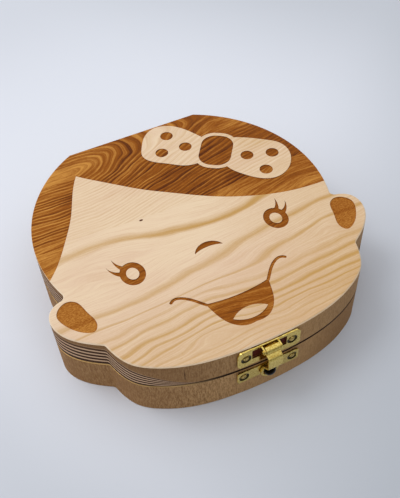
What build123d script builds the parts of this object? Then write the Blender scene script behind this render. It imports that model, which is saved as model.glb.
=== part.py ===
# Baby tooth box: a face-shaped wooden keepsake box with a hinged lid and a small brass catch.
# Frame: +Z up, -Y towards the chin and the catch, origin on the underside below the middle of the wood.
import os
from math import cos, radians, sin

from build123d import *

os.makedirs("parts", exist_ok=True)

# Wooden box, millimetres
ear_span = 130.8
box_depth = 124.0
head_width = 121.4
back_flat = 60.0
base_height = 16.0
lid_height = 12.5
notch_round = 2.0
edge_ease = 0.4
cut_overrun = 1.0

# Hollows in the base: twenty tooth sockets in two arches round two wells
sockets_per_arch = 10
socket_diameter = 9.5
socket_depth = 11.5
arch_width = 90.0
arch_length = 80.0
arch_end_angle = 13.5
hair_well_length = 46.0
hair_well_width = 18.0
tag_well_diameter = 22.0
well_depth = 11.5
well_gap = 4.0

# Burnt drawing on the lid
engrave_depth = 0.3
eye_width = 9.7
eye_height = 11.4
pupil_width = 4.8
pupil_height = 5.8
dot_diameter = 5.6
knot_length = 19.4
knot_width = 14.1
knot_flat = 2.1
knot_round = (knot_width - knot_flat) / 2
knot_tilt = 35
knot_border = 1.9
smile_line_width = 1.2

# Brass catch at the chin
plate_thickness = 0.6
latch_width = 25.0
latch_height = 9.0
latch_top_inset = 0.8
latch_corner = 2.0
window_width = 3.3
window_height = 5.0
window_inset = 0.9
catch_height = 6.0
catch_top_inset = 1.0
catch_corner = 1.0
plate_edge = 0.15
latch_nail_inset = 3.4
catch_nail_inset = 2.6
nail_head_diameter = 2.3
nail_head_height = 0.6
head_round_share = 0.8
nail_point_share = 0.3
nail_shank_diameter = 1.2
nail_length = 8.0
dimple_diameter = 4.2
dimple_floor = 2.5
dimple_depth = 0.5
fit_clearance = 0.05

# Swinging flap of the catch
latch_pin_diameter = 1.2
pin_inset = 1.7
barrel_diameter = 3.0
barrel_width = 5.5
barrel_gap = 0.2
ear_thickness = 0.6
ear_diameter = 2.4
pin_overhang = 0.3
flap_thickness = 0.7
flap_root_reach = 0.4
flap_root_drop = 1.1
flap_bow = 1.5
flap_bend = 1.1
flap_standoff = 0.4
bow_start_share = 0.18
bow_end_share = 0.54
ring_start_share = 0.79
ring_diameter = 7.3
ring_hole = 5.6
knob_diameter = 4.8
knob_height = 3.0
knob_round = 2.2
knob_drop = 0.5

# Hinges on the flat back
hinge_inset = 12.0
hinge_width = 17.0
leaf_height = 9.0
leaf_thickness = 0.8
leaf_corner = 1.0
knuckle_diameter = 3.2
knuckle_gap = 0.15
knuckle_standoff = 0.15
hinge_pin_diameter = 1.3
pin_clearance = 0.05
screw_spacing = 9.0
screw_edge = 3.2
screw_head_diameter = 3.0
screw_head_height = 0.7
screw_shank_diameter = 1.6
screw_length = 9.0
screw_slot_width = 0.4
screw_slot_depth = 0.3
pilot_spare = 0.5
screw_point_share = 0.3
slot_turn = 35

# Places worked out from the sizes
half_width = ear_span / 2
half_depth = box_depth / 2
box_height = base_height + lid_height
latch_top = box_height - latch_top_inset
latch_middle = latch_top - latch_height / 2
catch_middle = base_height - catch_top_inset - catch_height / 2
knob_middle = catch_middle - knob_drop
pin_height = latch_top - pin_inset
pin_reach = plate_thickness + barrel_gap + barrel_diameter / 2
ear_start = barrel_width / 2 + barrel_gap
window_middle = ear_start + ear_thickness + window_width / 2
window_height_middle = latch_top - window_inset - window_height / 2
latch_nail_reach = latch_width / 2 - latch_nail_inset
catch_nail_reach = latch_width / 2 - catch_nail_inset
latch_nail_spots = [(-latch_nail_reach, latch_middle), (latch_nail_reach, latch_middle)]
catch_nail_spots = [(-catch_nail_reach, catch_middle), (catch_nail_reach, catch_middle)]
nail_pilot = nail_length + pilot_spare
screw_height = leaf_height - screw_edge
screw_pilot = screw_length + pilot_spare
hinge_reach = back_flat / 2 - hinge_inset
lid_top = Plane.XY.offset(box_height)
chin_face = Plane(origin=(0, -half_depth, 0), x_dir=(1, 0, 0), z_dir=(0, -1, 0))
hinge_planes = {
    "left": Plane(origin=(-hinge_reach, half_depth, base_height), x_dir=(-1, 0, 0), z_dir=(0, 1, 0)),
    "right": Plane(origin=(hinge_reach, half_depth, base_height), x_dir=(-1, 0, 0), z_dir=(0, 1, 0)),
}

# Outline and drawing: shares of half the ear span and half the depth, from the middle of the box
head_middle_share = 0.156
ear_shares = [
    (0.864, -0.205), (0.928, -0.216), (0.982, -0.261), (1.0, -0.334),
    (0.979, -0.424), (0.902, -0.527), (0.783, -0.617),
]
jaw_shares = [
    (0.783, -0.617), (0.754, -0.712), (0.706, -0.796), (0.612, -0.872), (0.459, -0.942), (0.336, -0.973),
    (0.214, -0.99),
]
hair_left_shares = [
    (-0.948, -0.072), (-0.841, 0.049), (-0.734, 0.226), (-0.642, 0.403), (-0.55, 0.644), (-0.489, 0.767),
]
hair_right_shares = [
    (-0.489, 0.767), (-0.428, 0.701), (-0.306, 0.58), (-0.153, 0.432), (0.0, 0.311), (0.153, 0.194),
    (0.306, 0.097), (0.459, 0.025), (0.612, -0.028), (0.765, -0.057), (0.948, -0.064),
]
left_bow_shares = [
    (0.413, 0.709), (0.336, 0.866), (0.245, 0.963), (0.153, 0.984), (0.069, 0.939), (0.0, 0.829),
    (-0.029, 0.73), (0.005, 0.66), (0.092, 0.585), (0.168, 0.521), (0.291, 0.5),
]
right_bow_shares = [
    (0.535, 0.644), (0.657, 0.58), (0.765, 0.493), (0.835, 0.419), (0.855, 0.331), (0.818, 0.218),
    (0.749, 0.146), (0.657, 0.117), (0.566, 0.152), (0.482, 0.245), (0.42, 0.379),
]
knot_share = (0.429, 0.554)
dot_shares = [(0.196, 0.86), (0.098, 0.709), (0.263, 0.691), (0.587, 0.405), (0.746, 0.347), (0.631, 0.216)]
eye_share = (0.469, -0.213)
upper_lash_shares = [(0.486, -0.144), (0.524, -0.105), (0.544, -0.049), (0.54, -0.102), (0.52, -0.157)]
lower_lash_shares = [(0.514, -0.173), (0.566, -0.146), (0.592, -0.094), (0.581, -0.144), (0.529, -0.212)]
nose_shares = [(-0.092, -0.25), (0.0, -0.187), (0.092, -0.25), (0.0, -0.229)]
smile_shares = [(0.361, -0.522), (0.327, -0.508), (0.291, -0.522), (0.232, -0.578), (0.19, -0.632)]
mouth_shares = [(0.197, -0.622), (0.182, -0.685), (0.159, -0.759), (0.116, -0.825), (0.0, -0.86)]
lip_share = (0.0, -0.644)
tongue_shares = [(0.107, -0.788), (0.0, -0.744), (0.0, -0.828)]
ear_patch_shares = [
    (0.954, -0.305), (0.922, -0.253), (0.872, -0.234), (0.83, -0.255), (0.795, -0.353),
    (0.775, -0.474), (0.795, -0.503), (0.85, -0.488), (0.908, -0.429), (0.942, -0.368),
]
hollows_middle_share = 0.033


def place(share, side=1):
    """Point on the box, from its shares of the half sizes; side -1 gives the left half."""
    return (side * share[0] * half_width, share[1] * half_depth)


def places(shares, side=1):
    """Points on the box, from their shares."""
    return [place(share, side) for share in shares]


# Outline shared by the base and the lid: flat back, round head, ears, jaw and nearly flat chin
with BuildSketch() as outline:
    with BuildLine():
        ear_top = place(ear_shares[0])
        back = Line((0, half_depth), (back_flat / 2, half_depth))
        ThreePointArc(back @ 1, (head_width / 2, head_middle_share * half_depth), ear_top)
        Spline(*places(ear_shares))
        Spline(*places(jaw_shares))
        TangentArc((0, -half_depth), place(jaw_shares[-1]), tangent=(1, 0))
        mirror(about=Plane.YZ)
    make_face()
    for side in (-1, 1):
        for notch in (ear_shares[0], ear_shares[-1]):
            corner = outline.vertices().sort_by_distance((*place(notch, side), 0))[0]
            fillet(corner, radius=notch_round)


# Base: one block of pine with twenty tooth sockets, a long well and a round well
hollows_middle = hollows_middle_share * half_depth
arch_step = (180 - 2 * arch_end_angle) / (sockets_per_arch - 1)
socket_angles = [
    arch_start + arch_end_angle + arch_step * step
    for arch_start in (0, 180)
    for step in range(sockets_per_arch)
]
socket_places = [
    (arch_width / 2 * cos(radians(angle)), hollows_middle + arch_length / 2 * sin(radians(angle)))
    for angle in socket_angles
]
hair_well_middle = hollows_middle + (well_gap + hair_well_width) / 2
tag_well_middle = hollows_middle - (well_gap + tag_well_diameter) / 2

with BuildPart() as base:
    with BuildSketch():
        add(outline.sketch)
    extrude(amount=base_height)
    chamfer(base.edges().group_by(Axis.Z)[-1], length=edge_ease)
    chamfer(base.edges().group_by(Axis.Z)[0], length=edge_ease)
    with BuildSketch(Plane.XY.offset(base_height)):
        with Locations(*socket_places):
            Circle(socket_diameter / 2)
    extrude(amount=-socket_depth, mode=Mode.SUBTRACT)
    with BuildSketch(Plane.XY.offset(base_height)):
        with Locations((0, hair_well_middle)):
            SlotOverall(hair_well_length, hair_well_width)
        with Locations((0, tag_well_middle)):
            Circle(tag_well_diameter / 2)
    extrude(amount=-well_depth, mode=Mode.SUBTRACT)
    with BuildSketch(chin_face):
        with Locations(*catch_nail_spots):
            Circle(nail_shank_diameter / 2 + fit_clearance)
    extrude(amount=-nail_pilot, mode=Mode.SUBTRACT)
    for plane in hinge_planes.values():
        with BuildSketch(plane):
            with Locations((-screw_spacing / 2, -screw_height), (screw_spacing / 2, -screw_height)):
                Circle(screw_shank_diameter / 2 + fit_clearance)
        extrude(amount=-screw_pilot, mode=Mode.SUBTRACT)

base.part.label = "base"
export_step(base.part, "parts/base.step")


# Drawing: hair over the forehead with a dotted bow left pale in it
with BuildSketch() as hair:
    with BuildLine():
        parting = Spline(*places(hair_left_shares))
        fringe = Spline(*places(hair_right_shares))
        Polyline(
            fringe @ 1,
            (head_width, 0),
            (head_width, box_depth),
            (-head_width, box_depth),
            (-head_width, 0),
            parting @ 0,
        )
    make_face()
    add(outline.sketch, mode=Mode.INTERSECT)
    for lobe_shares in (left_bow_shares, right_bow_shares):
        with BuildLine():
            Spline(*places(lobe_shares), periodic=True)
        make_face(mode=Mode.SUBTRACT)
    with Locations(place(knot_share)):
        RectangleRounded(
            knot_length + 2 * knot_border,
            knot_width + 2 * knot_border,
            knot_round + knot_border,
            rotation=90 - knot_tilt,
            mode=Mode.SUBTRACT,
        )
        RectangleRounded(knot_length, knot_width, knot_round, rotation=90 - knot_tilt)
    with Locations(*places(dot_shares)):
        Circle(dot_diameter / 2)

# Drawing: ring eyes, each with two lashes
with BuildSketch() as eyes:
    for side in (-1, 1):
        for lash_shares in (upper_lash_shares, lower_lash_shares):
            lash = places(lash_shares, side)
            with BuildLine():
                ThreePointArc(*lash[:3])
                ThreePointArc(*lash[2:])
                Line(lash[-1], lash[0])
            make_face()
        with Locations(place(eye_share, side)):
            Ellipse(eye_width / 2, eye_height / 2)
            Ellipse(pupil_width / 2, pupil_height / 2, mode=Mode.SUBTRACT)

# Drawing: crescent nose
with BuildSketch() as nose:
    nose_left, nose_top, nose_right, nose_bottom = places(nose_shares)
    with BuildLine():
        ThreePointArc(nose_left, nose_top, nose_right)
        ThreePointArc(nose_right, nose_bottom, nose_left)
    make_face()

# Drawing: smile lines running into an open mouth with a pale tongue
with BuildSketch() as mouth:
    with BuildLine():
        Spline(*places(mouth_shares))
        Spline(*places(mouth_shares, side=-1))
        ThreePointArc(place(mouth_shares[0]), place(lip_share), place(mouth_shares[0], side=-1))
    make_face()
    tongue_side, tongue_top, tongue_bottom = tongue_shares
    with BuildLine():
        ThreePointArc(place(tongue_side), place(tongue_top), place(tongue_side, side=-1))
        ThreePointArc(place(tongue_side, side=-1), place(tongue_bottom), place(tongue_side))
    make_face(mode=Mode.SUBTRACT)
    for side in (-1, 1):
        with BuildLine():
            Spline(*places(smile_shares, side))
        trace(line_width=smile_line_width)
        with Locations(place(smile_shares[0], side)):
            Circle(smile_line_width / 2)

# Drawing: half moon inside each ear
with BuildSketch() as ear_patches:
    for side in (-1, 1):
        with BuildLine():
            Spline(*places(ear_patch_shares, side), periodic=True)
        make_face()


# Lid: one board of pine with the drawing burnt into its top
with BuildPart() as lid:
    with BuildSketch(Plane.XY.offset(base_height)):
        add(outline.sketch)
    extrude(amount=lid_height)
    chamfer(lid.edges().group_by(Axis.Z)[-1], length=edge_ease)
    chamfer(lid.edges().group_by(Axis.Z)[0], length=edge_ease)
    for drawing in (hair, eyes, nose, mouth, ear_patches):
        with BuildSketch(lid_top):
            add(drawing.sketch)
        extrude(amount=-engrave_depth, mode=Mode.SUBTRACT)
    with BuildSketch(chin_face):
        with Locations(*latch_nail_spots):
            Circle(nail_shank_diameter / 2 + fit_clearance)
    extrude(amount=-nail_pilot, mode=Mode.SUBTRACT)
    for plane in hinge_planes.values():
        with BuildSketch(plane):
            with Locations((-screw_spacing / 2, screw_height), (screw_spacing / 2, screw_height)):
                Circle(screw_shank_diameter / 2 + fit_clearance)
        extrude(amount=-screw_pilot, mode=Mode.SUBTRACT)

lid.part.label = "lid"
export_step(lid.part, "parts/lid.step")


def pressed_plate(height, middle, corner, nail_spots):
    """Thin brass plate on the chin, its front edge eased, with a dimple and a hole for each nail."""
    with BuildSketch(chin_face) as blank:
        with Locations((0, middle)):
            RectangleRounded(latch_width, height, corner)
    extrude(blank.sketch, amount=plate_thickness)
    with BuildSketch(chin_face) as nail_holes:
        with Locations(*nail_spots):
            Circle(nail_shank_diameter / 2 + fit_clearance)
    extrude(nail_holes.sketch, amount=plate_thickness, mode=Mode.SUBTRACT)
    for spot in nail_spots:
        with BuildSketch(chin_face.offset(plate_thickness)) as dimple_rim:
            with Locations(spot):
                Circle(dimple_diameter / 2)
        with BuildSketch(chin_face.offset(plate_thickness - dimple_depth)) as dimple_bottom:
            with Locations(spot):
                Circle(dimple_floor / 2)
        loft([dimple_rim.sketch, dimple_bottom.sketch], mode=Mode.SUBTRACT)


def eased_front(plate):
    """The outer edge of a plate's front face."""
    front = plate.faces().filter_by(Axis.Y).sort_by(Axis.Y)[0]
    return front.outer_wire().edges()


# Latch plate: thin brass plate nailed to the lid, with two windows whose metal stands out as pin ears
with BuildPart() as latch_plate:
    pressed_plate(latch_height, latch_middle, latch_corner, latch_nail_spots)
    fillet(eased_front(latch_plate), radius=plate_edge)
    with BuildSketch(chin_face):
        with Locations((-window_middle, window_height_middle), (window_middle, window_height_middle)):
            Rectangle(window_width, window_height)
    extrude(amount=plate_thickness, mode=Mode.SUBTRACT)
    for ear_plane in (Plane.YZ.offset(ear_start), Plane.YZ.offset(-ear_start - ear_thickness)):
        with BuildSketch(ear_plane):
            with Locations((-half_depth - pin_reach, pin_height)):
                Circle(ear_diameter / 2)
            with Locations((-half_depth - pin_reach / 2, pin_height)):
                Rectangle(pin_reach, ear_diameter)
            with Locations((-half_depth - pin_reach, pin_height)):
                Circle(latch_pin_diameter / 2 + fit_clearance, mode=Mode.SUBTRACT)
        extrude(amount=ear_thickness)

latch_plate.part.label = "latch_plate"
export_step(latch_plate.part, "parts/latch_plate.step")


# Latch pin: wire through both ears and the barrel of the flap
pin_length = 2 * (ear_start + ear_thickness + pin_overhang)

with BuildPart() as latch_pin:
    with BuildSketch(Plane.YZ):
        with Locations((-half_depth - pin_reach, pin_height)):
            Circle(latch_pin_diameter / 2)
    extrude(amount=pin_length / 2, both=True)
    chamfer(latch_pin.edges().filter_by(GeomType.CIRCLE), length=pin_overhang / 2)

latch_pin.part.label = "latch_pin"
export_step(latch_pin.part, "parts/latch_pin.step")


# Latch flap: brass strip rolled round the pin, bowed outwards, with a ring at its end for the knob
ring_reach = plate_thickness + flap_standoff + flap_thickness / 2
root_reach = pin_reach + flap_root_reach
bow_reach = pin_reach + barrel_diameter / 2 - flap_thickness / 2 + flap_bow
flap_drop = pin_height - knob_middle
flap_path = [
    (-half_depth - root_reach, pin_height - flap_root_drop),
    (-half_depth - bow_reach, pin_height - bow_start_share * flap_drop),
    (-half_depth - bow_reach, pin_height - bow_end_share * flap_drop),
    (-half_depth - ring_reach, pin_height - ring_start_share * flap_drop),
    (-half_depth - ring_reach, knob_middle),
]

with BuildPart() as latch_flap:
    with BuildSketch(Plane.YZ):
        with BuildLine():
            FilletPolyline(*flap_path, radius=flap_bend)
        trace(line_width=flap_thickness)
        with Locations((-half_depth - pin_reach, pin_height)):
            Circle(barrel_diameter / 2)
            Circle(latch_pin_diameter / 2 + fit_clearance, mode=Mode.SUBTRACT)
    extrude(amount=barrel_width / 2, both=True)
    with BuildSketch(chin_face.offset(plate_thickness + flap_standoff)):
        with Locations((0, knob_middle)):
            Circle(ring_diameter / 2)
    extrude(amount=flap_thickness)
    with BuildSketch(chin_face.offset(plate_thickness)):
        with Locations((0, knob_middle)):
            Circle(ring_hole / 2)
    extrude(amount=flap_standoff + flap_thickness + cut_overrun, mode=Mode.SUBTRACT)

latch_flap.part.label = "latch_flap"
export_step(latch_flap.part, "parts/latch_flap.step")


# Catch plate: thin brass plate nailed to the base, with the round knob that the ring drops over
with BuildPart() as catch_plate:
    pressed_plate(catch_height, catch_middle, catch_corner, catch_nail_spots)
    fillet(eased_front(catch_plate), radius=plate_edge)
    with BuildSketch(chin_face.offset(plate_thickness)):
        with Locations((0, knob_middle)):
            Circle(knob_diameter / 2)
    extrude(amount=knob_height)
    fillet(catch_plate.edges().sort_by(Axis.Y)[0], radius=knob_round)

catch_plate.part.label = "catch_plate"
export_step(catch_plate.part, "parts/catch_plate.step")


# Nails: two domed nails through each plate into the wood
for nail_set, nail_spots in (("latch_nails", latch_nail_spots), ("catch_nails", catch_nail_spots)):
    with BuildPart() as nails:
        with BuildSketch(chin_face.offset(plate_thickness - dimple_depth)):
            with Locations(*nail_spots):
                Circle(nail_shank_diameter / 2)
        extrude(amount=-nail_length)
        chamfer(nails.edges().group_by(Axis.Y)[-1], length=nail_shank_diameter * nail_point_share)
        with BuildSketch(chin_face.offset(plate_thickness - dimple_depth)):
            with Locations(*nail_spots):
                Circle(nail_head_diameter / 2)
        extrude(amount=nail_head_height)
        fillet(nails.edges().group_by(Axis.Y)[0], radius=nail_head_height * head_round_share)
    nails.part.label = nail_set
    export_step(nails.part, f"parts/{nail_set}.step")


# Hinges: two small brass butt hinges, their leaves screwed to the back of the base and of the lid
knuckle_length = (hinge_width - 2 * knuckle_gap) / 3
knuckle_reach = knuckle_standoff + knuckle_diameter / 2
outer_knuckle = knuckle_length + knuckle_gap


def knuckle_places(plane):
    """Planes at the middle of the two outer knuckles and of the centre knuckle, square to the pin."""
    middle = plane.offset(knuckle_reach)
    return [
        Plane(origin=middle.from_local_coords((shift, 0, 0)), x_dir=middle.z_dir, z_dir=middle.x_dir)
        for shift in (-outer_knuckle, 0, outer_knuckle)
    ]


def knuckles(planes, radius, length, mode=Mode.ADD):
    """Rounds along the hinge line, one on each plane."""
    for plane in planes:
        with BuildSketch(plane) as round_face:
            Circle(radius)
        extrude(round_face.sketch, amount=length / 2, both=True, mode=mode)


def hinge_leaf(plane, name, upward):
    """Leaf below the seam with the two outer knuckles, or above it with the centre one."""
    left_end, centre, right_end = knuckle_places(plane)
    own = [centre] if upward > 0 else [left_end, right_end]
    other = [left_end, right_end] if upward > 0 else [centre]
    spots = [(-screw_spacing / 2, upward * screw_height), (screw_spacing / 2, upward * screw_height)]
    with BuildPart() as leaf:
        with BuildSketch(plane):
            with Locations((0, upward * leaf_height / 2)):
                Rectangle(hinge_width, leaf_height)
        extrude(amount=leaf_thickness)
        corners = leaf.edges().filter_by(Axis.Y).sort_by(Axis.Z)
        fillet(corners[-2:] if upward > 0 else corners[:2], radius=leaf_corner)
        knuckles(other, knuckle_diameter / 2 + knuckle_gap, knuckle_length + 2 * knuckle_gap, Mode.SUBTRACT)
        knuckles(own, knuckle_diameter / 2, knuckle_length)
        knuckles([centre], hinge_pin_diameter / 2 + pin_clearance, hinge_width + cut_overrun, Mode.SUBTRACT)
        with BuildSketch(plane):
            with Locations(*spots):
                Circle(screw_shank_diameter / 2 + fit_clearance)
        extrude(amount=leaf_thickness, mode=Mode.SUBTRACT)
        for spot in spots:
            with BuildSketch(plane.offset(leaf_thickness)):
                with Locations(spot):
                    Circle(screw_head_diameter / 2 + fit_clearance)
            with BuildSketch(plane.offset(leaf_thickness - screw_head_height)):
                with Locations(spot):
                    Circle(screw_shank_diameter / 2 + fit_clearance)
            loft(mode=Mode.SUBTRACT)
    leaf.part.label = name
    export_step(leaf.part, f"parts/{name}.step")


def hinge_pin(plane, name):
    """Pin through all three knuckles."""
    with BuildPart() as pin:
        knuckles([knuckle_places(plane)[1]], hinge_pin_diameter / 2, hinge_width)
    pin.part.label = name
    export_step(pin.part, f"parts/{name}.step")


def hinge_screws(plane, name, upward):
    """Two countersunk slotted screws through one leaf into the wood."""
    spots = [(-screw_spacing / 2, upward * screw_height), (screw_spacing / 2, upward * screw_height)]
    with BuildPart() as screws:
        with BuildSketch(plane.offset(leaf_thickness - screw_head_height)):
            with Locations(*spots):
                Circle(screw_shank_diameter / 2)
        extrude(amount=screw_head_height - screw_length)
        chamfer(screws.edges().group_by(Axis.Y)[0], length=screw_shank_diameter * screw_point_share)
        for spot in spots:
            with BuildSketch(plane.offset(leaf_thickness)):
                with Locations(spot):
                    Circle(screw_head_diameter / 2)
            with BuildSketch(plane.offset(leaf_thickness - screw_head_height)):
                with Locations(spot):
                    Circle(screw_shank_diameter / 2)
            loft()
        with BuildSketch(plane.offset(leaf_thickness)):
            with Locations(*spots):
                Rectangle(screw_head_diameter + cut_overrun, screw_slot_width, rotation=slot_turn)
        extrude(amount=-screw_slot_depth, mode=Mode.SUBTRACT)
    screws.part.label = name
    export_step(screws.part, f"parts/{name}.step")


for hand, hinge_plane in hinge_planes.items():
    hinge_leaf(hinge_plane, f"{hand}_hinge_base_leaf", upward=-1)
    hinge_leaf(hinge_plane, f"{hand}_hinge_lid_leaf", upward=1)
    hinge_pin(hinge_plane, f"{hand}_hinge_pin")
    hinge_screws(hinge_plane, f"{hand}_hinge_base_screws", upward=-1)
    hinge_screws(hinge_plane, f"{hand}_hinge_lid_screws", upward=1)
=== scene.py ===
from math import cos, radians, sin

import bpy
from mathutils import Color, Matrix, Vector


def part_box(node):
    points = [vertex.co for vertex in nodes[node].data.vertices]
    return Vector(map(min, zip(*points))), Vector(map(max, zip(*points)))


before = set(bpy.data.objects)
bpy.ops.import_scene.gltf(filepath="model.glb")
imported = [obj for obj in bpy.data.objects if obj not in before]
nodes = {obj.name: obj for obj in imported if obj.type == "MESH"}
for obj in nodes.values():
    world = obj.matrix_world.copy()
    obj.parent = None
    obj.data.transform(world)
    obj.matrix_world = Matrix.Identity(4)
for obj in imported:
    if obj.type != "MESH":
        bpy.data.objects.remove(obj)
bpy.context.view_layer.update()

mm = 0.001

# Base: the lower board, one block of pine cut to the head's outline on a router, its hollows milled in.
# The cutter left the outer wall brown and fuzzy; the rim, the hollows and the underside are sanded pale.


class Tone:
    """A number, colour or place on its way into a finish. A sum on numbers adds Math nodes."""

    def __init__(self, tree, socket):
        self.tree = tree
        self.socket = socket

    def node(self, kind, settings, inputs, output=0):
        """One more node: its settings are set first, then the values or links of its sockets."""
        made = self.tree.nodes.new(kind)
        for name, value in settings.items():
            setattr(made, name, value)
        for name, value in inputs.items():
            if isinstance(value, Tone):
                self.tree.links.new(value.socket, made.inputs[name])
            else:
                made.inputs[name].default_value = value
        return Tone(self.tree, made.outputs[output])

    def maths(self, operation, *others):
        """This number through a Math node, alone or with one or two more numbers."""
        return self.node("ShaderNodeMath", {"operation": operation}, dict(enumerate((self, *others))))

    def __add__(self, other):
        return self.maths("ADD", other)

    def __sub__(self, other):
        return self.maths("SUBTRACT", other)

    def __rsub__(self, other):
        return self.maths("MULTIPLY_ADD", -1, other)

    def __mul__(self, other):
        return self.maths("MULTIPLY", other)

    def __truediv__(self, other):
        return self.maths("DIVIDE", other)

    def __pow__(self, other):
        return self.maths("POWER", other)

    __radd__ = __add__
    __rmul__ = __mul__

    def parts(self):
        """The three numbers of a place."""
        split = self.node("ShaderNodeSeparateXYZ", {}, {"Vector": self}).socket.node
        return [Tone(self.tree, socket) for socket in split.outputs]

    def with_rest(self, second, third):
        """A place made of this number and two more."""
        return self.node("ShaderNodeCombineXYZ", {}, {0: self, 1: second, 2: third})

    def stretched(self, along_x, along_y, along_z):
        """The same place, with each direction scaled."""
        scales = (along_x, along_y, along_z)
        return self.node("ShaderNodeVectorMath", {"operation": "MULTIPLY"}, {0: self, 1: scales})

    def clouds(self, detail=2.0, roughness=0.5):
        """Soft noise about zero at a place."""
        inputs = {"Vector": self, "Scale": 1, "Detail": detail, "Roughness": roughness}
        return self.node("ShaderNodeTexNoise", {}, inputs) - 0.5

    def chance(self):
        """A number from 0 to 1 that stays the same from one whole number to the next."""
        step = self.maths("FLOOR") + 0.5
        return step.node("ShaderNodeTexWhiteNoise", {"noise_dimensions": "1D"}, {"W": step})

    def rise(self, low, high):
        """0 up to low and 1 from high, smooth between them. Low may be the greater: then it falls."""
        settings = {"interpolation_type": "SMOOTHSTEP"}
        return self.node("ShaderNodeMapRange", settings, {"Value": self, "From Min": low, "From Max": high})

    def ramp(self, low, high):
        """0 up to low and 1 from high, straight between them."""
        return self.node("ShaderNodeMapRange", {}, {"Value": self, "From Min": low, "From Max": high})

    def within(self, low, high, soft):
        """1 from low to high and 0 outside, with both edges this soft."""
        return self.rise(low - soft, low + soft) * self.rise(high + soft, high - soft)

    def hill(self, middle, reach):
        """1 at the middle, falling away on both sides like a bell, to 0 at twice the reach."""
        return ((self - middle) / reach).maths("ABSOLUTE").rise(2.0, 0.0)

    def between(self, first, second):
        """The colour at this share of the way from first to second."""
        share, first_colour, second_colour, mixed = 0, 6, 7, 2
        inputs = {share: self, first_colour: first, second_colour: second}
        return self.node("ShaderNodeMix", {"data_type": "RGBA"}, inputs, output=mixed)


def laid_over(*marks):
    """Marks laid over each other, each given with its strength."""
    return sum(mark * strength for mark, strength in marks)


def tint(red, green, blue):
    """A colour as seen on a screen, as the light that a finish sends back."""
    return (*Color((red / 255, green / 255, blue / 255)).from_srgb_to_scene_linear(), 1)


def new_finish(name):
    """A material with its shader, each point's place in millimetres, and the way the surface faces."""
    material = bpy.data.materials.new(name)
    material.use_nodes = True
    tree = material.node_tree
    shader = tree.nodes["Principled BSDF"]
    start = Tone(tree, shader.outputs[0])
    place = start.node("ShaderNodeTexCoord", {}, {}, output="Object").stretched(1 / mm, 1 / mm, 1 / mm)
    facing = start.node("ShaderNodeNewGeometry", {}, {}, output="Normal")
    return material, shader, place, facing


def connect(shader, **inputs):
    """Links or sets the shader's sockets, with underscores for the spaces of their names."""
    for name, value in inputs.items():
        socket = shader.inputs[name.replace("_", " ")]
        if isinstance(value, Tone):
            value.tree.links.new(value.socket, socket)
        else:
            socket.default_value = value


def bumps(relief, depth):
    """The way that a surface faces once this relief is on it, the depth in millimetres."""
    inputs = {"Strength": bump_strength, "Distance": depth * mm, "Height": relief}
    return relief.node("ShaderNodeBump", {}, inputs)


def dress(node, material):
    """Gives a CAD piece its finish."""
    slots = nodes[node].data.materials
    slots.clear()
    slots.append(material)


pine_pale = tint(231, 207, 176)
pine_rosy = tint(222, 192, 164)
pine_tan = tint(193, 151, 90)
wall_brown = tint(192, 152, 104)
wall_dark = tint(136, 98, 60)
wall_fuzz = tint(228, 192, 142)
wall_left = tint(140, 100, 60)
edge_highlight = tint(228, 184, 118)
seam_shade = tint(46, 26, 12)
halfway = 0.5
wood_gloss = 0.1
streak_roughness = 0.1
bump_strength = 0.3
grain_depth = 0.2
fuzz_relief = 3
speckle_contrast = 3.2
front_painted_light = 0.2
right_smoothness = 0.6
fuzz_contrast = 4.5
fuzz_share = 0.5


def late_wood(ring, start, full, stop):
    """Dark late wood of each year ring, as a share of the year: it comes on slowly and stops short."""
    year = ring.maths("FRACT")
    return year.rise(start, full) * year.rise(1.0, stop)


def fibres(grain):
    """Fine streaks along the grain, whose place runs along it in X and across it in Y."""
    long_streaks = grain.stretched(0.045, 1.1, 1.1).clouds(2, 0.6)
    short_streaks = grain.stretched(0.2, 3, 3).clouds(2, 0.6)
    return laid_over((long_streaks, 1.4), (short_streaks, 1.2))


def router_wall(place):
    """The outer wall as the router leaves it: brown, with short fuzz standing along Z, more at the left,
    and painted light that makes it paler at the front middle.
    """
    across = place.parts()[0]
    rough = 1 - across.rise(-30, 5) * right_smoothness
    speckle = place.stretched(1.9, 1.9, 0.45).clouds(3, 0.75)
    # Painted light: the wall is paler round the front middle.
    front_light = across.hill(0, 22)
    brown = laid_over((speckle * rough, speckle_contrast), (front_light, front_painted_light)) + halfway
    wall = brown.rise(0, 1).between(wall_dark, wall_brown)
    fuzz = (place.stretched(2.6, 2.6, 0.6).clouds(2, 0.6) * fuzz_contrast).rise(0.4, 1.1)
    return (fuzz * rough * fuzz_share).between(wall, wall_fuzz), speckle


ring_height = 3.5
ring_width = 5.5
ring_waver = 16
hollows_y = 2.05
hollows_half_width = 53.0
hollows_half_length = 48.0
base_roughness = 0.66
left_darkening = 0.6
right_shade = 0.6
highlight_start = 0.9
highlight_contrast = 3

base_wood, shader, place, facing = new_finish("pine_base")
x, y, z = place.parts()
level = facing.parts()[2]
waver = place.stretched(0.012, 0.04, 0.05).clouds() * ring_waver
dark_rings = late_wood((y + waver) / ring_width + z / ring_height, 0.55, 0.9, 0.93)
streaks = fibres(place)
rosy = place.stretched(0.02, 0.06, 0.06).clouds().rise(-0.12, 0.15)
sanded = laid_over((dark_rings, 0.7), (streaks, 0.3)).between(rosy.between(pine_pale, pine_rosy), pine_tan)

wall, speckle = router_wall(place)
# Darker and browner towards the left, in patches.
left_patches = place.stretched(0.1, 0.1, 0.25).clouds() + left_darkening
wall = (x.rise(-20, -50) * left_patches).between(wall, wall_left)
wall = (x.rise(12, 36) * right_shade).between(wall, wall_dark)
around_hollows = (x / hollows_half_width) ** 2 + ((y - hollows_y) / hollows_half_length) ** 2
outer = level.maths("ABSOLUTE").rise(0.6, 0.5) * around_hollows.rise(0.98, 1.02)

# The eased top edge: a painted highlight in gold at the left, and painted shade of the seam elsewhere.
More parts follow.
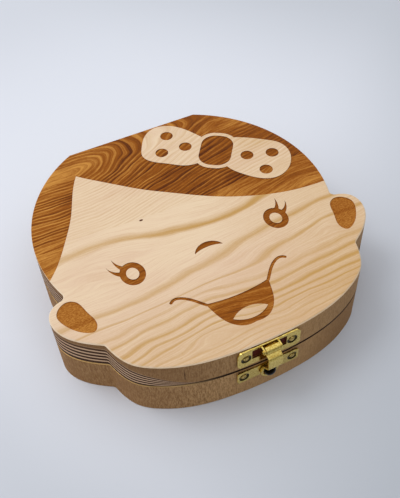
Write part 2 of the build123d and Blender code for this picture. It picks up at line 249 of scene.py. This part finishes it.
eased = level.rise(0.6, 0.7) * level.rise(0.8, 0.72)
highlight_patches = place.stretched(0.06, 0.06, 1).clouds() * highlight_contrast + highlight_start
painted_seam_edge = (x.rise(-14, -44) * highlight_patches).between(seam_shade, edge_highlight)
connect(
    shader,
    Base_Color=eased.between(outer.between(sanded, wall), painted_seam_edge),
    Roughness=base_roughness + streaks * streak_roughness,
    Specular_IOR_Level=wood_gloss,
    Normal=bumps(streaks + speckle * outer * fuzz_relief, grain_depth),
)
dress("base", base_wood)

# Lid: the upper board, flat-sawn pine with its year rings nearly level, so the face shows broad tan bands.
# The drawing is burnt in a little below the face, where the grain shows as dark lines round one swirl.
# The router's wall shows the rings as thin dark stripes that crowd down to the seam towards the chin.

lid_low, lid_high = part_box("lid")
lid_top = lid_high.z / mm
lid_foot = lid_low.z / mm

# Bands of late wood, from the hairline to the chin: where each starts along Y, and where its year ends.
late_wood_places = [
    (8.5, 2.0), (-15.5, -22.0), (-27.8, -30.5), (-34.6, -37.6), (-38.9, -41.6), (-43.3, -46.0),
    (-47.0, -48.7), (-49.9, -51.3), (-52.6, -53.7), (-55.2, -56.2), (-57.7, -58.7), (-60.1, -61.0),
]
first_year_width = 12
early_share = 0.4
sag_x = 11.0
sag_depth = 8.0
sag_reach = 24.0
swing_x = 8.0
swing_rise = 8.0
swing_reach = 50
hump_x = -18.0
hump_rise = 3.5
hump_reach = 19.0
jaw_lift = 1.5
jaw_calm = 0.9
band_least = 0.34
band_chance = 0.34
first_band_extra = 0.36
chin_loss = 0.588

# Fine lines above them, behind the hair: they run round a swirl and on to the right.
lines_y = 12.0
lines_slope = 3
swirl_x = -32.0
swirl_y = 51.0
swirl_reach = 24.0
swirl_lean = 0.15
swirl_heart = 4.0
line_spacing = 1.6
line_bend = 0.8
line_least = 0.06
line_chance = 0.34
heart_calm = 0.7
right_calm = 0.5
ear_calm = 0.8
right_ear_loss = 0.25
upper_calm = 0.7

burnt_gold = tint(203, 142, 64)
burnt_brown = tint(144, 79, 10)
burnt_dark = tint(80, 32, 0)
window_shade_and_stain = tint(84, 28, 14)
rim_highlight = tint(250, 236, 212)
stripe_dark = tint(54, 26, 12)
stripe_pale = tint(224, 186, 150)
speck_x = -17.3
speck_y = 10.7
speck_half_length = 0.9
speck_half_width = 0.5
stripes_x = -46
stripes_spread = 5.6
stripes_growth = 0.13
stripes_least = 0.47
stripes_share = 0.95
stripes_bend = 0.12
left_shade = 0.65
joint_x = -30.6
joint_half_width = 0.22
joint_share = 0.6
window_inner = 3.5
window_outer = 6.9
rim_highlight_share = 0.35
lid_roughness = 0.62

lid_wood, shader, place, facing = new_finish("pine_lid")
x, y, z = place.parts()
level = facing.parts()[2]
from_middle = x.maths("ABSOLUTE")
depth = lid_top - z
wide_bends = place.stretched(0.025, 0.03, 0.03).clouds(1)
small_bends = place.stretched(0.06, 0.11, 0.11).clouds(1)
bends = laid_over((wide_bends, 4), (small_bends, 3.5))

# Below the hairline the bands sag, swing and lift, and ring counts the years from the ears to the chin.
brow = y.rise(-16, -2)
sag = x.hill(sag_x, sag_reach) * brow * sag_depth
side_to_side = x.rise(swing_x - swing_reach, swing_x + swing_reach) * 2 - 1
swing = side_to_side * (1 - brow) * (1 - y.rise(-22, -36) * jaw_calm) * swing_rise
hump = x.hill(hump_x, hump_reach) * y.rise(-29, -34) * y.rise(-56, -50) * hump_rise
lift = x.rise(10, 45) * y.rise(-29, -36) * jaw_lift
low = y + sag - swing - hump - lift + bends
upper = (y + bends - x.rise(20, 60) * lines_slope).rise(lines_y - 0.4, lines_y)

ring = 0
year_start = late_wood_places[0][0] + first_year_width
for late_start, year_end in late_wood_places:
    ring = ring + low.ramp(year_start, late_start) * early_share
    ring = ring + low.ramp(late_start, year_end) * (1 - early_share)
    year_start = year_end
bands = late_wood(ring, 0.38, 0.8, 0.76) * (1 - upper)
first_band = ring.rise(1.02, 0.98) * x.hill(sag_x - 5, sag_reach)
band_strength = laid_over((ring.chance(), band_chance), (first_band, first_band_extra)) + band_least
chin_fade = 1 - y.rise(-46, -60) * chin_loss

# Above it each line keeps its distance from the swirl.
past_swirl = (x - swirl_x).maths("MAXIMUM", 0)
sideways = (past_swirl / (swirl_reach * 2)).maths("TANH") * swirl_reach
backwards = y - swirl_y - past_swirl * swirl_lean
from_swirl = (sideways ** 2 + backwards ** 2).maths("SQRT") + bends * line_bend
line = (from_swirl - swirl_heart).maths("MAXIMUM", 0) / line_spacing
lines = late_wood(line, 0.15, 0.75, 0.9) * upper

grain = x.with_rest(upper * (from_swirl - low) + low, z)
streaks = fibres(grain)
hairs = grain.stretched(0.06, 2.6, 2.6).clouds(2, 0.6)
dashes = (grain.stretched(0.35, 3.5, 3.5).clouds(1) * 5).rise(1.15, 1.5)
patches = place.stretched(0.02, 0.05, 0.05).clouds()
pores = place.stretched(1.0, 2.2, 2.2).clouds(4, 0.75)

# The sanded face: pale wood, tanned by its bands and marks, and more so towards the right and the chin.
rosy = laid_over((patches, 1.3), (hairs, 1.8), (y.rise(10, -40), 0.3)) + 0.4
mellow_right = x.rise(-10, 60) * (1 - upper * upper_calm)
mellow_chin = y.rise(-20, -58)
mellow_bow = x.rise(28, 50) * y.rise(24, 30)
tanned = laid_over(
    (bands * band_strength, chin_fade),
    (mellow_right, 0.32),
    (mellow_chin, 0.36),
    (mellow_bow, 0.25),
    (lines, 0.24),
    (hairs, 0.5),
    (streaks, 0.18),
    (pores, 0.45),
    (dashes, 0.3),
)
sanded = tanned.between(rosy.rise(0, 1).between(pine_pale, pine_rosy), pine_tan)
speck = ((x - speck_x) / speck_half_length) ** 2 + ((y - speck_y) / speck_half_width) ** 2
sanded = speck.rise(1.2, 0.4).between(sanded, burnt_dark)

# The burnt drawing: toast goes from charred, at 0, to golden, at 1.
heart = from_swirl.rise(12, 5)
left_side = x.rise(-34, -50) * upper
left_corner = x.rise(-50, -58) * y.rise(20, 8) * y.rise(-5, 0)
back = y.rise(36, 60)
back_right = x.rise(34, 46) * y.rise(40, 50)
below_bow_right = x.rise(20, 30) * y.rise(40, 20) * y.rise(0, 6)
below_bow = x.hill(10, 26) * y.hill(29, 10)
fringe_tips = (1 - upper) * y.rise(-4, -1)
ears = from_middle.rise(48, 50) * y.rise(-11, -12) * (1 - x.rise(-20, 20) * right_ear_loss)
ear_fuzz = from_middle.rise(48, 50) * y.rise(-2, -8)
strong_lines = 1 - x.rise(22, 44) * right_calm
line_strength = line.chance() * line_chance + line_least
dark_lines = lines * line_strength * strong_lines * (1 - heart * heart_calm)
between_lines = lines.rise(0.3, 0.0) * upper * strong_lines
toast = laid_over(
    (heart, 0.1),
    (left_side, 0.14),
    (left_corner, 0.112),
    (back, 0.1),
    (back_right, 0.18),
    (below_bow_right, -0.1),
    (below_bow, -0.1),
    (fringe_tips, 0.22),
    (ears, 0.22),
    (patches, 0.5),
    (streaks * (1 - ear_fuzz * ear_calm), 0.62),
    (pores, ear_fuzz * 0.9 + 0.5),
    (bands, -0.14),
    (dark_lines, -1),
    (between_lines, 0.12),
) + halfway
burnt = toast.ramp(0, halfway).between(burnt_dark, burnt_brown)
burnt = toast.ramp(halfway, 1).between(burnt, burnt_gold)

# The wall: stripes at the left, one joint in the wood, painted shade at the left and along the seam, and
# painted shade with some stain on the wood in the windows of the catch's plate.
wall, speckle = router_wall(place)
height = z - lid_foot + bends * stripes_bend
crowding = ((x - stripes_x) / stripes_spread).maths("EXPONENT") * stripes_growth + stripes_least
stripe = height * crowding
stripes = late_wood(stripe, 0.2, 0.35, 0.8).between(stripe_pale, stripe_dark)
striped_part = stripe.rise(5.2, 4.8) * x.rise(-22, -32)
scorched = height.rise(8, 11) * x.rise(-30, -45)
wall_grain = place.stretched(0.3, 0.3, 4).clouds(2)
joint = ((x - joint_x) / joint_half_width) ** 2 + height.rise(4.0, 3.0) * 4
joint = joint.rise(1.2, 0.4) * y.rise(0, -20) * height.rise(11.5, 7)
window_sides = from_middle.within(window_inner, window_outer, 0.1)
plate_windows = window_sides * height.rise(5.6, 5.9) * y.rise(-60, -61)
wall = (x.rise(0, -38) * left_shade).between(wall, wall_dark)
wall = (striped_part * stripes_share).between(wall, stripes)
wall = laid_over((scorched, 0.5), (wall_grain, 0.8)).between(wall, wall_dark)
wall = (joint * joint_share).between(wall, stripe_dark)
wall = plate_windows.between(wall, window_shade_and_stain)
wall = height.rise(0.9, 0.6).between(wall, seam_shade)

# The rim, the eased top edge, is painted paler as a painted highlight.
rim = level.rise(0.5, 0.65) * level.rise(0.85, 0.75)
sunk = depth.rise(0.03, 0.12) * depth.rise(2.0, 1.0) * (1 - rim)
outer = level.rise(0.6, 0.4) * depth.rise(0.33, 0.38) * level.rise(-0.9, -0.8)
face = (rim * rim_highlight_share).between(sunk.between(sanded, burnt), rim_highlight)
relief = laid_over((streaks, 0.8), (bands, -0.5), (speckle * outer, fuzz_relief), (lines, sunk * -1))
connect(
    shader,
    Base_Color=outer.between(face, wall),
    Roughness=lid_roughness + streaks * streak_roughness,
    Specular_IOR_Level=wood_gloss,
    Normal=bumps(relief, grain_depth),
)
dress("lid", lid_wood)

# Hinges: two plain brass butt hinges on the flat back, each with two leaves, a pin and four small screws.
# They are stamped and rolled from brass strip, with faint rub marks and a little tarnish.

hinge_light = tint(236, 206, 116)
hinge_deep = tint(182, 146, 58)
shade_and_reflection_black = tint(18, 12, 4)
rub_contrast = 2.2
rub_start = 0.45
rub_roughness = 0.2
scratch_roughness = 0.12
rub_depth = 0.12
dimple_inner = 7.1
dimple_outer = 11.6


def brass_finish(name, light, deep, roughness, dimple_shade=0.0, dark_reflection_from=None):
    """Stamped brass with rub marks, with painted shade in the dimples round a front plate's nails, as dark
    as asked, and painted black, as a dark reflection, on what stands further forward than a given place
    along Y."""
    metal, shader, place, facing = new_finish(name)
    x, y = place.parts()[:2]
    forwards = facing.parts()[1]
    from_middle = x.maths("ABSOLUTE")
    marks = place.stretched(1.5, 1.5, 1.5).clouds(3)
    scratches = place.stretched(0.6, 6, 14).clouds(2)
    rubbed = laid_over((marks, rub_contrast), (scratches, 1)) + rub_start
    metal_colour = rubbed.rise(0, 1).between(light, deep)
    sloping = forwards.rise(-0.96, -0.9) * forwards.rise(-0.6, -0.75)
    dark = sloping * from_middle.within(dimple_inner, dimple_outer, 0.1) * dimple_shade
    if dark_reflection_from is not None:
        dark = dark + y.rise(dark_reflection_from, dark_reflection_from - 0.2)
    connect(
        shader,
        Base_Color=dark.between(metal_colour, shade_and_reflection_black),
        Metallic=1.0,
        Roughness=laid_over((marks, rub_roughness), (scratches, scratch_roughness)) + roughness,
        Normal=bumps(laid_over((marks, 1), (scratches, 0.5)), rub_depth),
    )
    return metal


hinge_brass = brass_finish("hinge_brass", hinge_light, hinge_deep, roughness=0.24)
for hand in ("left", "right"):
    for piece in ("base_leaf", "lid_leaf", "pin", "base_screws", "lid_screws"):
        dress(f"{hand}_hinge_{piece}", hinge_brass)

# Catch: two thin pressed plates, a wire pin and the rolled flap, all brass plated and bright.
# The ring at the flap's end drops over the drawn knob; the dimples round the nails get painted shade, and
# the knob's front is painted black as a dark reflection.

plated_light = tint(242, 218, 128)
plated_deep = tint(196, 162, 70)
plated_roughness = 0.14
dimple_shade_strength = 0.95
knob_stands_out = 0.3

catch_brass = brass_finish("catch_brass", plated_light, plated_deep, plated_roughness, dimple_shade_strength)
for piece in ("latch_plate", "latch_pin", "latch_flap"):
    dress(piece, catch_brass)
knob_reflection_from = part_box("catch_nails")[0].y / mm - knob_stands_out
knob_plate_brass = brass_finish(
    "knob_plate_brass", plated_light, plated_deep, plated_roughness, dimple_shade_strength, knob_reflection_from
)
dress("catch_plate", knob_plate_brass)

# Nails: small round-headed steel nails, two through each plate of the catch.
# They are washed with brass that is dull and dark in patches.

nail_light = tint(226, 194, 110)
nail_deep = tint(92, 70, 32)

nail_metal = brass_finish("nail_metal", nail_light, nail_deep, roughness=0.2)
dress("latch_nails", nail_metal)
dress("catch_nails", nail_metal)

# Table and light: a pale cool table top in a room that is bright behind on the left and darker in front.
# One wide lamp stands for the window, high up behind the left of the head.

floor_half = 1.5
floor_gap = 0.00005
floor_pale = tint(222, 226, 236)
floor_painted_shade = tint(172, 178, 187)
room_bright = 0.94
room_dark = 0.3
window_place = Vector((-0.36, 0.26, 0.8))
window_width = 0.45
window_power = 1.9

floor_mesh = bpy.data.meshes.new("table_top")
corners = [(side_x, side_y, 0) for side_x, side_y in ((-1, -1), (1, -1), (1, 1), (-1, 1))]
floor_mesh.from_pydata([Vector(corner) * floor_half for corner in corners], [], [(0, 1, 2, 3)])
floor = bpy.data.objects.new("table_top", floor_mesh)
floor.location.z = -floor_gap
bpy.context.scene.collection.objects.link(floor)
table_finish, shader, place, facing = new_finish("table_top")
x, y = place.parts()[:2]
# The top is painted greyer towards the front, the right, both ends and far away: painted shade where the
# light falls off.
forwards = laid_over((x, 0.7), (y, -1.1)).rise(-25, 195)
away = (x ** 2 + y ** 2).rise(100 ** 2, 250 ** 2)
sideways = laid_over((x, 0.93), (y, 0.37))
right_end = sideways.rise(80, 230)
left_end = sideways.rise(-70, -115)
painted_falloff = laid_over((forwards, 1), (away, 0.3), (right_end, 0.28), (left_end, 0.45))
connect(
    shader,
    Base_Color=painted_falloff.between(floor_pale, floor_painted_shade),
    Roughness=0.7 + place.stretched(0.8, 0.8, 1).clouds() * 0.1,
    Specular_IOR_Level=0.3,
)
floor_mesh.materials.append(table_finish)

world = bpy.data.worlds.new("pale_room")
bpy.context.scene.world = world
world.use_nodes = True
sky = world.node_tree.nodes["Background"]
sky.inputs["Color"].default_value = (1, 1, 1, 1)
toward = Tone(world.node_tree, sky.outputs[0]).node("ShaderNodeTexCoord", {}, {}, output="Generated")
x, y, z = toward.parts()
bright_side = laid_over((y, 0.55), (z, 0.75), (x, -0.1)).rise(-0.25, 0.5)
strength = bright_side * (room_bright - room_dark) + room_dark
world.node_tree.links.new(strength.socket, sky.inputs["Strength"])

lamp_data = bpy.data.lights.new("window", "AREA")
lamp_data.shape = "DISK"
lamp_data.size = window_width
lamp_data.energy = window_power
lamp = bpy.data.objects.new("window", lamp_data)
bpy.context.scene.collection.objects.link(lamp)
lamp.location = window_place
lamp.rotation_euler = (-window_place).to_track_quat("-Z", "Y").to_euler()

# Camera: where the photograph was taken from, worked out from the flat face of the lid.
# It looks down on the chin from the left, a little tilted.

azimuth = radians(-23.315)
elevation = radians(48.832)
roll = radians(-3.356)
distance = 0.267418
target = Vector((-0.003101, -0.01395, 0.0285))
sensor = 36.0
focal_pixels = 698.534
photo_height = 498
nearest = 0.01

forward = Vector((-sin(azimuth) * cos(elevation), cos(azimuth) * cos(elevation), -sin(elevation)))
level_right = forward.cross(Vector((0, 0, 1))).normalized()
level_up = level_right.cross(forward)
right = level_right * cos(roll) + level_up * sin(roll)
up = level_up * cos(roll) - level_right * sin(roll)
camera_data = bpy.data.cameras.new("camera")
camera_data.sensor_fit = "VERTICAL"
camera_data.sensor_width = sensor
camera_data.sensor_height = sensor
camera_data.lens = focal_pixels / photo_height * sensor
camera_data.clip_start = nearest
camera = bpy.data.objects.new("camera", camera_data)
bpy.context.scene.collection.objects.link(camera)
turn = Matrix((right, up, -forward)).transposed().to_4x4()
camera.matrix_world = Matrix.Translation(target - forward * distance) @ turn
bpy.context.scene.camera = camera
bpy.context.scene.view_settings.view_transform = "Standard"
